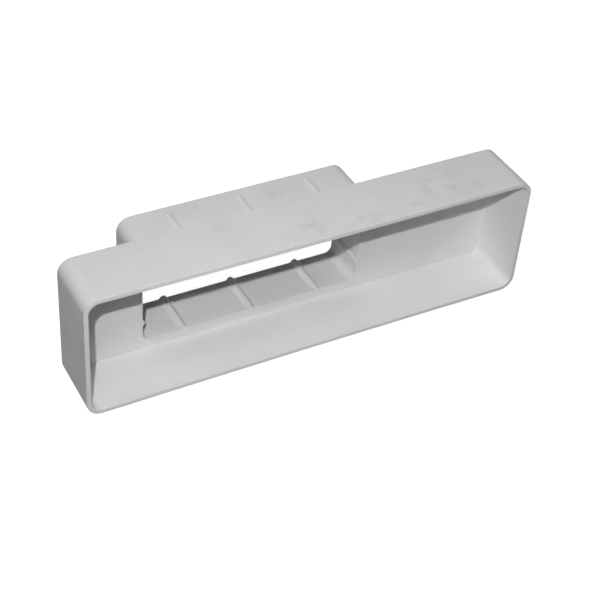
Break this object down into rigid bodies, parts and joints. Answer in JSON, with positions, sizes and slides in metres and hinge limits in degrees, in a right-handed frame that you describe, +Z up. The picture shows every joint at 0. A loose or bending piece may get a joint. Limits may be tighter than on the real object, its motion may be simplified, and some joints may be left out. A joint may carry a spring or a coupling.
{
  "type": "flat duct airbrick adapter",
  "caption": "Shallow open rectangular box with rounded corners and an offset ribbed rectangular spigot behind it; joins a flat duct to the back of an airbrick.",
  "frame": {"origin": "centre of the bounding box's bottom face, on the floor that the part stands on", "axes": "+X along the long side, towards the wider margin beside the spigot; +Y from the open front towards the spigot; +Z up"},
  "size_m": [0.204, 0.0488, 0.059],
  "materials": {
    "plastic": "satin moulded"
  },
  "bodies": {
    "root": {"adapter_body": "plastic"}
  },
  "joints": []
}
